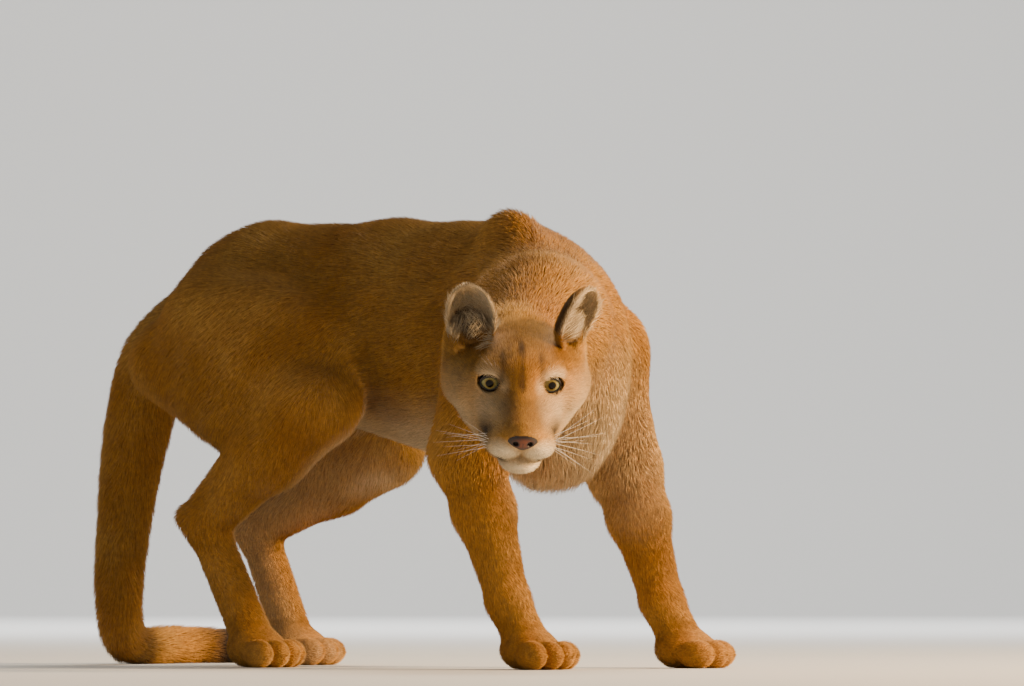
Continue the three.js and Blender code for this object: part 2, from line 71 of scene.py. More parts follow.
def heading(turn, pitch):
    t, p = np.radians((turn, pitch))
    return (-np.sin(t) * np.cos(p), -np.cos(t) * np.cos(p), -np.sin(p))


def within(parent, at, turn=(0, 0, 0)):
    """A frame inside another: moved to `at`, then turned about z, y and x."""
    x, y, z = (Matrix.Rotation(np.radians(a), 4, n) for a, n in zip(turn, "XYZ"))
    return parent @ framed(at, *np.eye(3)) @ np.array(z @ y @ x)


def placed(parent, p):
    return (parent @ np.append(np.asarray(p, float), 1))[:3]


BODY = np.eye(4)
HEAD = facing(HEAD_AT, heading(HEAD_TURN, HEAD_PITCH), HEAD_ROLL)
EYE = {side: within(HEAD, (side * EYE_SPREAD, -5, 6), (4, 0, -side * 12)) for side in (-1, 1)}
SHIFT = np.mean(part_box("eye_right"), axis=0) - EYE[1][:3, 3] / 1000


# The studio: a pale floor that runs up into the background, and broad soft lamps round the animal.
# The camera stands low, well back and to the animal's right, with a long lens.
CAMERA_AZIMUTH = -57
CAMERA_DISTANCE = 9.0
CAMERA_HEIGHT = 0.12
AIM_HEIGHT = 0.422
AIM_ASIDE = -0.004
LENS = 243.6
FAR_CLIP = 60


def colour(text):
    """The linear colour of an sRGB hex value."""
    part = np.array([int(text[i : i + 2], 16) for i in (1, 3, 5)]) / 255
    linear = np.where(part <= 0.04045, part / 12.92, ((part + 0.055) / 1.055) ** 2.4)
    return (*linear, 1.0)


def node(tree, kind, settings=None, **links):
    """Adds a node. `settings` are its own, and each link is a socket or a plain value for an input."""
    new = tree.nodes.new(kind)
    for name, value in (settings or {}).items():
        setattr(new, name, value)
    for name, value in links.items():
        key = name.replace("_", " ")
        socket = new.inputs[int(key[1:])] if key[1:].isdigit() else new.inputs[key]
        if isinstance(value, bpy.types.NodeSocket):
            tree.links.new(value, socket)
        else:
            socket.default_value = value
    return new


def material(name):
    made = bpy.data.materials.new(name)
    made.use_nodes = True
    tree = made.node_tree
    tree.nodes.clear()
    return made, tree


def shade(tree, surface):
    node(tree, "ShaderNodeOutputMaterial", Surface=surface)


def link(obj):
    bpy.context.scene.collection.objects.link(obj)
    return obj


azimuth = np.radians(CAMERA_AZIMUTH)
towards = np.array((np.sin(azimuth), -np.cos(azimuth), 0))
aside = np.array((np.cos(azimuth), np.sin(azimuth), 0))
aim = aside * AIM_ASIDE + SHIFT * (1, 1, 0) + (0, 0, AIM_HEIGHT)
stand = aside * AIM_ASIDE + towards * CAMERA_DISTANCE + SHIFT * (1, 1, 0) + (0, 0, CAMERA_HEIGHT)
camera = link(bpy.data.objects.new("camera", bpy.data.cameras.new("camera")))
camera.data.lens = LENS
camera.data.clip_end = FAR_CLIP
camera.location = stand
camera.rotation_euler = Vector(aim - stand).to_track_quat("-Z", "Y").to_euler()
bpy.context.scene.camera = camera

# The floor is a roll of uncoated studio paper, which is matt, takes soft shadows and bends up behind.
FLOOR_REACH = 16.0
FLOOR_DEPTH = 12.0
FLOOR_RISE = 7.0
FLOOR_BEND = 4.0
BEND_STEPS = 24
floor, floor_tree = material("matt pale paper")
floor_colour = colour("#dcdcda")
floor_paint = node(floor_tree, "ShaderNodeBsdfPrincipled", Base_Color=floor_colour, Roughness=0.9)
shade(floor_tree, floor_paint.outputs[0])
angles = np.linspace(0, np.pi / 2, BEND_STEPS)
bend = [(FLOOR_DEPTH + FLOOR_BEND * np.sin(a), FLOOR_BEND * (1 - np.cos(a))) for a in angles]
profile = [(-FLOOR_REACH, 0.0)] + bend + [(FLOOR_DEPTH + FLOOR_BEND, FLOOR_RISE)]
sweep = bpy.data.meshes.new("floor")
edges = (-FLOOR_REACH, FLOOR_REACH)
corners = [tuple(-towards * d + aside * s + (0, 0, h)) for d, h in profile for s in edges]
strips = [(2 * i, 2 * i + 1, 2 * i + 3, 2 * i + 2) for i in range(len(profile) - 1)]
sweep.from_pydata(corners, [], strips)
sweep.materials.append(floor)
for face in sweep.polygons:
    face.use_smooth = True
sweep_object = link(bpy.data.objects.new("floor", sweep))


def lamp(name, at, size, power, tint, target=(0, 0, 0.35)):
    """A soft square lamp. Its place and target are aside, towards the camera and up, in metres."""
    made = link(bpy.data.objects.new(name, bpy.data.lights.new(name, "AREA")))
    made.data.size = size
    made.data.energy = power
    made.data.color = colour(tint)[:3]
    start, end = (aside * x + towards * y + (0, 0, z) for x, y, z in (at, target))
    made.location = start
    made.rotation_euler = Vector(end - start).to_track_quat("-Z", "Y").to_euler()
    made.visible_camera = False


lamp("key", (3.8, 1.0, 1.8), 0.9, 430, "#ffd6a2")
lamp("fill", (-2.6, 3.4, 1.7), 2.6, 20, "#f8f4fa")
lamp("top", (0.8, -1.5, 3.3), 2.2, 110, "#fff0da")
lamp("backdrop", (0, -6.0, 5.5), 5.0, 1000, "#ffffff", (0, -12.5, 0.0))
world = bpy.data.worlds.new("studio")
world.use_nodes = True
world.node_tree.nodes["Background"].inputs["Color"].default_value = colour("#ece9e4")
world.node_tree.nodes["Background"].inputs["Strength"].default_value = 0.36
bpy.context.scene.world = world


# The flesh under the coat, as a field: rounded masses of muscle and bone that melt into one another.
# Each form also says which way the coat lies on it, how thick the coat stands there and how long its hair is.
BACKWARD = (0, 1, -0.12)
DOWN = (0, 0.25, -1)
forms = []


def form(parent, centre, reach, blend, distance, lie, coat, cut=False):
    inverse = np.linalg.inv(parent)
    forms.append(
        dict(
            middle=placed(parent, centre),
            reach=reach,
            blend=blend,
            distance=distance,
            inverse=inverse,
            lie=unit(lie),
            coat=coat,
            cut=cut,
        )
    )


def far(one, x, y, z):
    """How far points lie outside a form."""
    m = one["inverse"]
    return one["distance"](*(m[i, 0] * x + m[i, 1] * y + m[i, 2] * z + m[i, 3] for i in range(3)))


def egg(x, y, z, a, b, c):
    near = np.sqrt((x / a) ** 2 + (y / b) ** 2 + (z / c) ** 2)
    slope = np.sqrt((x / a**2) ** 2 + (y / b**2) ** 2 + (z / c**2) ** 2)
    return near * (near - 1) / np.maximum(slope, 1e-9)


def mass(parent, centre, radii, blend, turn=(0, 0, 0), lie=BACKWARD, coat=(8, 21), cut=False):
    """An ellipsoid."""
    local = within(parent, centre, turn)
    form(local, (0, 0, 0), max(radii), blend, lambda x, y, z: egg(x, y, z, *radii), lie, coat, cut)


def limb(parent, start, r0, end, r1, blend, wide=1, lie=None, coat=(8, 21), cut=False):
    """A rounded bar from one point to another, tapering, `wide` times as wide along x."""
    start, end = np.asarray(start, float), np.asarray(end, float)
    d = end - start

    def bar(x, y, z):
        px, py, pz = x - start[0], y - start[1], z - start[2]
        t = np.clip((px * d[0] + py * d[1] + pz * d[2]) / (d @ d), 0, 1)
        out = np.sqrt(((px - t * d[0]) / wide) ** 2 + (py - t * d[1]) ** 2 + (pz - t * d[2]) ** 2)
        return out - (r0 + t * (r1 - r0))

    along = parent[:3, :3] @ d if lie is None else lie
    reach = np.linalg.norm(d) / 2 + max(r0, r1) * max(1, wide)
    form(parent, (start + end) / 2, reach, blend, bar, along, coat, cut)


def spline(points, count):
    """Points evenly in parameter along a smooth curve through `points`."""
    p = np.asarray(points, float)
    p = np.vstack((2 * p[0] - p[1], p, 2 * p[-1] - p[-2]))
    out = []
    for t in np.linspace(0, len(points) - 1, count):
        i = min(int(t), len(points) - 2)
        u = t - i
        a, b, c, d = p[i : i + 4]
        square = 2 * a - 5 * b + 4 * c - d
        cube = 3 * b - a - 3 * c + d
        out.append(0.5 * (2 * b + (c - a) * u + square * u**2 + cube * u**3))
    return np.array(out)


def chain(parent, points, links, blend, coat, cut=False):
    """A row of bars along a smooth curve through points that each carry a radius."""
    path = spline([p[:3] for p in points], links + 1)
    radii = np.interp(np.linspace(0, len(points) - 1, links + 1), range(len(points)), [p[3] for p in points])
    for i in range(links):
        limb(parent, path[i], radii[i], path[i + 1], radii[i + 1], blend, coat=coat, cut=cut)


def plus(a, b):
    return tuple(np.asarray(a, float) + b)


def mix(a, b, t):
    return tuple(np.asarray(a, float) * (1 - t) + np.asarray(b, float) * t)


# Trunk: the deep ribcage slung between the shoulder blades, the belly, the back and the sloping rump.
mass(BODY, (0, 70, 425), (118, 215, 152), 40)
mass(BODY, (-4, -58, 372), (96, 104, 136), 50, lie=DOWN, coat=(11, 30))
mass(BODY, (0, 275, 444), (103, 190, 126), 60, coat=(9, 26))
limb(BODY, (0, 0, 512), 60, (0, 180, 520), 60, 40)
limb(BODY, (0, 180, 520), 60, (0, 372, 528), 60, 40)
mass(BODY, (0, 400, 481), (96, 104, 104), 40)
limb(BODY, (0, 430, 478), 78, (0, 520, 425), 60, 40)

# Neck: two thick tapering lengths of muscle, from the shoulders round to the nape, as low as the back.
# Its hair lies back over the shoulders.
NECK_LIE = (0.72, 0.6, -0.3)
limb(BODY, (-8, -30, 455), 102, (-110, -105, 436), 90, 50, lie=NECK_LIE, coat=(9, 24))
nape = placed(HEAD, (0, -115, -14))
limb(BODY, (-110, -105, 436), 90, nape, 74, 40, lie=NECK_LIE, coat=(8, 20))

# Forelegs: blade, upper arm with the triceps behind it, forearm and pastern, each a bar between two joints.
# The left leg is the foremost, and the hair shortens down each leg.
LEG_COAT = (5, 12)
SHIN_COAT = (3.5, 8)
FORELEG = {
    "left": ((46, 26, 548), (92, -70, 412), (124, -92, 258), (119, -150, 88), (119, -180, 34)),
    "right": ((-46, -22, 560), (-112, -96, 418), (-128, -14, 268), (-112, -62, 88), (-111, -90, 34)),
}
for blade, shoulder, elbow, wrist, knuckle in FORELEG.values():
    limb(BODY, blade, 33, shoulder, 60, 36, lie=(0, 0.75, -0.6))
    limb(BODY, shoulder, 60, elbow, 47, 36, lie=(0, 0.5, -1))
    behind_blade = plus(mix(blade, shoulder, 0.55), (0, 48, -10))
    limb(BODY, behind_blade, 44, plus(elbow, (0, 18, 20)), 36, 40, lie=(0, 0.7, -0.8), coat=(7, 20))
    belly = mix(elbow, wrist, 0.35)
    limb(BODY, elbow, 45, belly, 41, 20, coat=LEG_COAT)
    limb(BODY, belly, 41, wrist, 29, 20, coat=LEG_COAT)
    limb(BODY, wrist, 30, knuckle, 29, 14, coat=SHIN_COAT)

# Hind legs: haunch, hamstring, knee, shank with the heel's tendon, hock and long hind foot.
# They are set one before the other, the right one foremost.
HINDLEG = {
    "left": ((72, 428, 452), (126, 292, 292), (120, 492, 180), (115, 430, 34)),
    "right": ((-72, 428, 452), (-130, 228, 340), (-125, 402, 186), (-120, 330, 34)),
}
for hip, knee, hock, knuckle in HINDLEG.values():
    side = np.sign(hip[0])
    thigh = plus(mix(hip, knee, 0.5), (side * 2, 0, 0))
    slope = np.degrees(np.arctan2(hip[2] - knee[2], hip[1] - knee[1]))
    mass(BODY, thigh, (60, 142, 112), 50, (slope * 0.8, 0, 0), lie=(0, 0.55, -0.8))
    limb(BODY, hip, 70, knee, 54, 40, lie=(0, 0.4, -1))
    seat = (side * 62, 508, 402)
    limb(BODY, seat, 56, plus(mix(knee, hock, 0.35), (0, 0, 8)), 46, 50, lie=(0, 0.45, -1))
    calf = mix(knee, hock, 0.4)
    limb(BODY, knee, 52, calf, 45, 25, lie=DOWN, coat=(7, 17))
    limb(BODY, calf, 45, hock, 28, 25, lie=DOWN, coat=LEG_COAT)
    heel = plus(hock, (0, 30, 12))
    limb(BODY, plus(mix(knee, hock, 0.5), (0, 20, 22)), 26, heel, 16, 20, lie=DOWN, coat=LEG_COAT)
    limb(BODY, hock, 28, heel, 17, 14, lie=DOWN, coat=LEG_COAT)
    limb(BODY, hock, 28, knuckle, 28, 18, 1.1, coat=SHIN_COAT)

# Paws: a broad furred foot and four toes side by side, the middle two foremost.
# All four are alike, and stand flat with the claws drawn in.
TOE_PITCH = 20.5
TOE_LENGTH = 27
PAWS = [
    (FORELEG["left"][4], -6),
    (FORELEG["right"][4], 10),
    (HINDLEG["left"][3], -8),
    (HINDLEG["right"][3], 8),
]
for knuckle, turn in PAWS:
    ahead = heading(turn, 0)
    paw = facing((knuckle[0], knuckle[1], 0), ahead)
    mass(paw, (0, 6, 24), (38, 42, 28), 12, lie=ahead, coat=(2.5, 6))
    for toe in (-1.5, -0.5, 0.5, 1.5):
        at = (toe * TOE_PITCH, 47 - 5 * toe**2, 18)
        mass(paw, at, (12.5, TOE_LENGTH, 20), 6, lie=ahead, coat=(2, 5))

# Tail: long and thickly furred. It hangs from the rump and is laid on the floor, curved to the animal's left.
# Each point on its path has the radius there.
TAIL = [
    (0, 500, 470, 48),
    (0, 572, 410, 49),
    (-2, 606, 310, 45),
    (0, 628, 190, 37),
    (10, 644, 84, 32),
    (62, 662, 27, 29),
    (150, 650, 25, 27),
    (232, 598, 22, 24),
]
chain(BODY, TAIL, 28, 14, coat=(8, 20))

# Head: brain case, brow, cheeks with their ruff, bridge, muzzle with its two whisker pads, jaw and chin.
# The mouth is closed, and its line runs down from the nose and back under each whisker pad.
BACK_OF_FACE = HEAD[:3, :3] @ (0, -1, 0.25)
FACE = (3.5, 7)
MUZZLE = (2.2, 4)
RUFF = (8, 20)
mass(HEAD, (0, -62, -2), (64, 76, 54), 20, lie=BACK_OF_FACE, coat=(4.5, 11))
mass(HEAD, (0, -22, 14), (50, 44, 32), 20, lie=BACK_OF_FACE, coat=FACE)
limb(HEAD, (0, -8, 5), 25, (0, 72, -26), 17, 22, 1.25, lie=BACK_OF_FACE, coat=MUZZLE)
mass(HEAD, (0, 46, -38), (37, 42, 28), 16, lie=BACK_OF_FACE, coat=MUZZLE)
mass(HEAD, (0, -56, -56), (56, 62, 40), 30, lie=HEAD[:3, :3] @ (0, -1, -0.3), coat=RUFF)
limb(HEAD, (0, -20, -66), 28, (0, 52, -73), 18, 20, 1.35, lie=BACK_OF_FACE, coat=(3.5, 9))
mass(HEAD, (0, 63, -72), (26, 21, 16), 10, lie=BACK_OF_FACE, coat=(3, 7))
for side in (-1, 1):
    outward = HEAD[:3, :3] @ (side * 0.5, -1, -0.35)
    mass(HEAD, (side * 33, -4, 22), (21, 17, 12), 12, lie=BACK_OF_FACE, coat=FACE)
    mass(HEAD, (side * 48, -36, -16), (40, 48, 38), 22, lie=outward, coat=(5, 11))
    mass(HEAD, (side * 61, -68, -22), (34, 38, 40), 26, lie=outward, coat=RUFF)
    limb(HEAD, (side * 38, -30, -50), 29, (side * 24, 24, -62), 20, 20, lie=outward, coat=(5, 11))
    mass(HEAD, (side * 32, 8, -30), (22, 40, 28), 16, lie=outward, coat=FACE)
    mass(HEAD, (side * 21, 60, -48), (24, 27, 21), 9, lie=outward, coat=MUZZLE)
    mass(EYE[side], (0, 0, 0), [EYE_RADIUS + 3] * 3, 8, lie=outward, coat=(1.2, 3))
mass(HEAD, (0, 82, -34), (18, 13, 12), 6, lie=BACK_OF_FACE, coat=(0.3, 2))

# Ears: thin rounded cups of gristle, the right one open to the front and the left one turned out and laid over.
# Each is half an egg hollowed out, with a soft mound of hair at the foot of the cup.
EAR_HEIGHT, EAR_HALF_WIDTH, EAR_DEPTH, EAR_WALL = 70, 33, 20, 5.5


def ear_frame(at, tip, opening):
    z = unit(tip)
    x = unit(np.cross(opening, z))
    return HEAD @ framed(at, x, np.cross(z, x), z)


EAR = {
    "right": ear_frame((56, -62, 36), (0.2, -0.18, 1), (0.12, 1, 0)),
    "left": ear_frame((-65, -64, 39), (-0.3, -0.12, 1), (-1.1, 1, 0)),
}
# Hair stands thick round the outer base of each ear, so that the ear runs down into the ruff.
mass(HEAD, (79, -80, 22), (15, 22, 36), 16, lie=HEAD[:3, :3] @ (0.3, -0.6, 0.7), coat=(5, 15))
mass(HEAD, (-74, -82, 18), (14, 22, 26), 16, lie=HEAD[:3, :3] @ (-0.3, -0.8, 0.3), coat=(5, 14))


def cup(x, y, z):
    half = EAR_HEIGHT / 2 + 10
    up = z - EAR_HEIGHT + half
    outer = egg(x, y, up, EAR_HALF_WIDTH, EAR_DEPTH, half)
    hollow = egg(x, y - EAR_WALL, up - 2, EAR_HALF_WIDTH - EAR_WALL, EAR_DEPTH, half - EAR_WALL)
    return np.maximum(np.maximum(outer, -hollow), y - 6)


for ear in EAR.values():
    form(ear, (0, 0, EAR_HEIGHT / 2), EAR_HEIGHT, 5, cup, ear[:3, 2], (1.0, 5))
    mass(ear, (1, -6, 10), (24, 12, 20), 9, lie=ear[:3, 2], coat=(2.5, 9))

# What is cut into the face: the eyes' sockets and almond openings, the nostrils and the line of the mouth.
# Each opening is where two arcs cross, and the mouth is a groove that follows the upper lip.
LIP = ((0, 87, -60), (16, 86, -64), (32, 72, -65), (43, 48, -61), (49, 28, -52))
EYE_OPENING = (25, 18)
LID_SLANT = 10
half_wide, half_high = EYE_OPENING[0] / 2, EYE_OPENING[1] / 2
LID_ARC = (half_wide**2 + half_high**2) / (2 * half_high)


def almond(x, y, z):
    rise = LID_ARC - half_high
    upper = np.sqrt(x**2 + (z + rise) ** 2) - LID_ARC
    lower = np.sqrt(x**2 + (z - rise) ** 2) - LID_ARC
    return np.maximum(np.maximum(upper, lower), 3 - y)


for side in (-1, 1):
    mass(EYE[side], (0, 0, 0), [EYE_RADIUS + 0.3] * 3, 0.5, cut=True)
    slant = within(EYE[side], (0, 0, 0), (0, side * LID_SLANT, 0))
    form(slant, (0, EYE_RADIUS, 0), 2 * EYE_RADIUS, 1, almond, BACKWARD, FACE, cut=True)
    mass(HEAD, (side * 9, 95, -35), (3.6, 7, 3.2), 1.5, cut=True)
    chain(HEAD, [(side * u, v, w, 2.6) for u, v, w in LIP], 14, 2, FACE, cut=True)
chain(HEAD, [(0, 98, -44, 1.4), (0, 93, -54, 1.8), (0, 86, -66, 2)], 4, 2, FACE, cut=True)


# The skin: one surface a coat's depth inside the outline of the flesh, drawn round the field cell by cell.
# It is made in regions, coarse on the trunk and fine on the head and paws, which overlap under the coat.
SOFTNESS = 10
CLOSE, DISTANT = -40, 60
OUTSIDE = 1000.0


def sample(low, high, cell, furred=True):
    """The field on a grid of points, moved in by the depth of the coat where it is furred."""
    axes = [np.arange(a, b + cell, cell) for a, b in zip(low, high)]
    size = [len(a) for a in axes]
    value = np.full(size, OUTSIDE, np.float32)
    depth = np.zeros(size, np.float32)
    weight = np.full(size, 1e-6, np.float32)
    for one in forms:
        rim = one["reach"] + one["blend"] + 2 * cell + 12
        span = [np.searchsorted(a, (m - rim, m + rim)) for a, m in zip(axes, one["middle"])]
        if any(b <= a for a, b in span):
            continue
        box = tuple(slice(a, b) for a, b in span)
        x, y, z = np.ix_(*(a[s].astype(np.float32) for a, s in zip(axes, box)))
        d = far(one, x, y, z)
        was = value[box]
        blend = one["blend"]
        if one["cut"]:
            close = np.maximum(blend - np.abs(-was - d), 0) / blend
            value[box] = -(np.minimum(-was, d) - close**2 * blend / 4)
            continue
        close = np.maximum(blend - np.abs(was - d), 0) / blend
        value[box] = np.minimum(was, d) - close**2 * blend / 4
        near = np.exp(-np.clip(d, CLOSE, DISTANT) / SOFTNESS)
        depth[box] += near * one["coat"][0]
        weight[box] += near
    return axes, value + depth / weight * furred


def read(axes, value, points):
    """The value at points between those of the grid."""
    at = [(p - a[0]) / (a[1] - a[0]) for p, a in zip(points.T, axes)]
    at = [np.clip(p, 0, len(a) - 1.001) for p, a in zip(at, axes)]
    low = [a.astype(int) for a in at]
    part = [a - b for a, b in zip(at, low)]
    out = 0
    for corner in np.ndindex(2, 2, 2):
        share = 1
        for c, t in zip(corner, part):
            share = share * (t if c else 1 - t)
        out = out + share * value[tuple(b + c for b, c in zip(low, corner))]
    return out


def slopes(axes, value, points):
    """Which way is out of the flesh, at points near its surface."""
    step = axes[0][1] - axes[0][0]
    shifts = np.eye(3) * step
    rise = [read(axes, value, points + s) - read(axes, value, points - s) for s in shifts]
    return np.stack(rise, 1) / (2 * step)


def surface(axes, value):
    """A quad mesh of the surface where the value is zero: one corner in each cell that it crosses."""
    inside = value < 0
    size = np.array(value.shape)
    cells = size - 1
    total = np.zeros((*cells, 3), np.float32)
    count = np.zeros(cells, np.int8)
    for way in range(3):
        step = np.eye(3, dtype=int)[way]
        for other in np.ndindex(2, 2):
            corner = np.insert(other, way, 0)
            first = tuple(slice(c, c + n) for c, n in zip(corner, cells))
            second = tuple(slice(c + s, c + s + n) for c, s, n in zip(corner, step, cells))
            a, b = value[first], value[second]
            crossed = inside[first] != inside[second]
            t = np.where(crossed, a / np.where(crossed, a - b, 1), 0)
            for i in range(3):
                total[..., i] += crossed * (corner[i] + (t if i == way else 0))
            count += crossed
    used = count > 0
    index = np.full(cells, -1)
    index[used] = np.arange(used.sum())
    spacing = np.array([a[1] - a[0] for a in axes])
    points = (np.argwhere(used) + total[used] / count[used][:, None]) * spacing
    points += [a[0] for a in axes]
    quads = []
    for way in range(3):
        u, v = (way + 1) % 3, (way + 2) % 3
        near = [slice(1, -1)] * 3
        near[way] = slice(0, -1)
        ahead = list(near)
        ahead[way] = slice(1, None)
        a, b = inside[tuple(near)], inside[tuple(ahead)]
        cell = np.argwhere(a != b) + [0 if i == way else 1 for i in range(3)]
        leaves = a[a != b]
        ring = []
        for du, dv in ((-1, -1), (0, -1), (0, 0), (-1, 0)):
            at = cell.copy()
            at[:, u] += du
            at[:, v] += dv
            ring.append(index[tuple(at.T)])
        quad = np.stack(ring, 1)
        quads.append(np.where(leaves[:, None], quad, quad[:, ::-1]))
    quads = np.concatenate(quads)
    for _ in range(2):
        slope = slopes(axes, value, points)
        points -= slope * (read(axes, value, points) / np.maximum((slope**2).sum(1), 0.05))[:, None]
    return points, quads


def keep(points, quads, chosen):
    """Only the faces that are chosen, with the corners that they use."""
    quads = quads[chosen]
    used, flat = np.unique(quads, return_inverse=True)
    return points[used], flat.reshape(quads.shape)


def blank_mesh(name, points, faces, smooth=True):
    """A mesh object at the origin, from places in millimetres."""
    mesh = bpy.data.meshes.new(name)
    faces = np.asarray(faces)
    mesh.vertices.add(len(points))
    mesh.vertices.foreach_set("co", (np.asarray(points) / 1000 + SHIFT).astype(np.float32).ravel())
    mesh.loops.add(faces.size)
    mesh.loops.foreach_set("vertex_index", faces.ravel().astype(np.int32))
    mesh.polygons.add(len(faces))
    mesh.polygons.foreach_set("loop_start", np.arange(len(faces), dtype=np.int32) * faces.shape[1])
    mesh.polygons.foreach_set("use_smooth", np.full(len(faces), smooth))
    mesh.update(calc_edges=True)
    return link(bpy.data.objects.new(name, mesh))


def paint(obj, **values):
    """Writes one number a corner for the material to read."""
    for name, value in values.items():
        layer = obj.data.attributes.new(name, "FLOAT", "POINT")
        layer.data.foreach_set("value", np.asarray(value, np.float32))


def place(points, parent):
    """Points in a frame's own terms."""
    inverse = np.linalg.inv(parent)
    return points @ inverse[:3, :3].T + inverse[:3, 3]


# Markings, which skin and coat share: where the hair is cream, where it is near black and where grey-brown,
# with some painted shade in near black as well.
# Each is a soft spot or line in the terms of the body, the head, an eye or an ear.
def spot(points, parent, centre, radii, edge=0.35):
    """One inside an ellipsoid, falling to nought over its edge."""
    x, y, z = ((place(points, parent) - centre) / radii).T
    return 1 - np.clip((np.sqrt(x**2 + y**2 + z**2) - 1 + edge) / (2 * edge), 0, 1)


def line(points, parent, path, radius):
    """One along a path, falling to nought at a distance."""
    local = place(points, parent)
    near = np.full(len(points), 1e9)
    for a, b in zip(path[:-1], path[1:]):
        a, d = np.array(a, float), np.subtract(b, a)
        t = np.clip((local - a) @ d / (d @ d), 0, 1)[:, None]
        near = np.minimum(near, np.linalg.norm(local - a - t * d, axis=1))
    return 1 - np.clip(near / radius, 0, 1) ** 2


def most(*marks):
    return np.max(marks, axis=0)


def markings_and_painted_shade(points, normals):
    """Cream, black and brown at each point, from 0 to 1; some of the black is painted shade."""
    head = spot(points, HEAD, (0, -10, -10), (125, 120, 125), 0.15)
    down = np.clip((-normals[:, 2] - 0.3) / 0.4, 0, 1)
    inward = np.clip(-1.6 * normals[:, 0] * np.sign(points[:, 0]) - 0.3, 0, 1)
    low = np.clip((330 - points[:, 2]) / 60, 0, 1)
    cream = [down * spot(points, BODY, (0, 190, 290), (105, 270, 120), 0.4) * 0.8]
    cream.append(inward * low * ((points[:, 1] > 150) & (points[:, 1] < 560)) * 0.25)
    cream.append(spot(points, BODY, (-14, -150, 285), (115, 80, 96), 0.7) * 0.58)
    cream.append(spot(points, HEAD, (0, 66, -84), (34, 34, 22)))
    black = [spot(points, BODY, (225, 600, 22), (60, 60, 50), 0.4)]
    brown = [np.clip((normals[:, 2] - 0.5) / 0.5, 0, 1) * (1 - head) * 0.5]
    for side in (-1, 1):
        cream.append(spot(points, HEAD, (side * 20, 72, -52), (21, 26, 15)))
        cream.append(spot(points, HEAD, (side * 40, 20, -24), (22, 36, 22), 0.8) * 0.6)
        cream.append(spot(points, HEAD, (side * 38, 8, 18), (15, 16, 8), 0.6) * 0.65)
        cream.append(spot(points, HEAD, (side * 20, 18, 4), (6, 12, 12), 0.6) * 0.5)
        cream.append(spot(points, HEAD, (side * 60, -14, -40), (32, 42, 34), 0.7) * 0.55)
        black.append(spot(points, HEAD, (side * 41, 43, -45), (11, 18, 17), 0.7) * 0.9)
        tear = [(-side * 9, 13, -3), (-side * 15, 14, -11), (-side * 17, 18, -20)]
        black.append(line(points, EYE[side], tear, 6) * 0.95)
        brow = [(side * 24, 18, 14), (side * 22, 8, 28), (side * 24, -6, 42)]
        black.append(line(points, HEAD, brow, 6) * 0.6)
        black.append(line(points, HEAD, [(side * 46, -2, 16), (side * 58, -16, 16)], 4) * 0.5)
        brown.append(spot(points, HEAD, (side * 11, 46, -14), (17, 44, 18), 0.5) * 0.8)
        brown.append(spot(points, HEAD, (side * 14, -20, 44), (26, 40, 30), 0.5) * 0.45)
        lip = [(side * 2, 88, -60), (side * 16, 82, -66), (side * 33, 58, -64), (side * 46, 26, -54)]
        black.append(line(points, HEAD, lip, 5) * 0.9)
    # Painted shade: a near black line from the bridge up the middle of the forehead to the crown stands for the
    # shade of a furrow there.
    black.append(line(points, HEAD, [(0, 34, 8), (0, 14, 26), (0, -10, 44), (0, -44, 60)], 6) * 0.75)
    for ear in EAR.values():
        local = place(points, ear)
        middle = EAR_HEIGHT / 2 - 10
        narrowing = np.clip(1 - ((local[:, 2] - middle) / (middle + 22)) ** 2, 0.02, 1)
        wide = EAR_HALF_WIDTH * np.sqrt(narrowing) + 2
        on_ear = (local[:, 2] > 4) * (np.abs(local[:, 0]) < wide) * (np.abs(local[:, 1]) < 24)
        front = np.clip(normals @ ear[:3, 1] * 1.6 + 0.3, 0, 1)
        black.append(on_ear * (1 - front) * 0.8 * np.clip(1.5 - local[:, 2] / 90, 0, 1))
        # Painted shade: the lower part of each ear round the foot of its cup is made near black, standing for
        # the shade in the cup's hollow.
        black.append(spot(points, ear, (0, -4, 14), (23, 17, 26), 0.4) * 0.8)
        cream.append(on_ear * front * 0.6)
    return np.clip(most(*cream), 0, 1), np.clip(most(*black), 0, 1), np.clip(most(*brown), 0, 1)


# The coat's colour: tawny and fawn hair in broad patches, flecked with umber, browner on the back, with cream
# and black markings and some near black painted shade. One node tree serves the skin, which is the undercoat,
# and the guard hair over it.
TAWNY, FAWN, UMBER = "#c08732", "#d4a350", "#694722"
# The near black serves both the black markings and the painted shade.
CREAM, MARK_AND_SHADE_BLACK = "#f3e3c0", "#1f1510"
PATCH_SIZE, FLECK_SIZE, STRAND_SIZE = 111, 6.25, 2.38


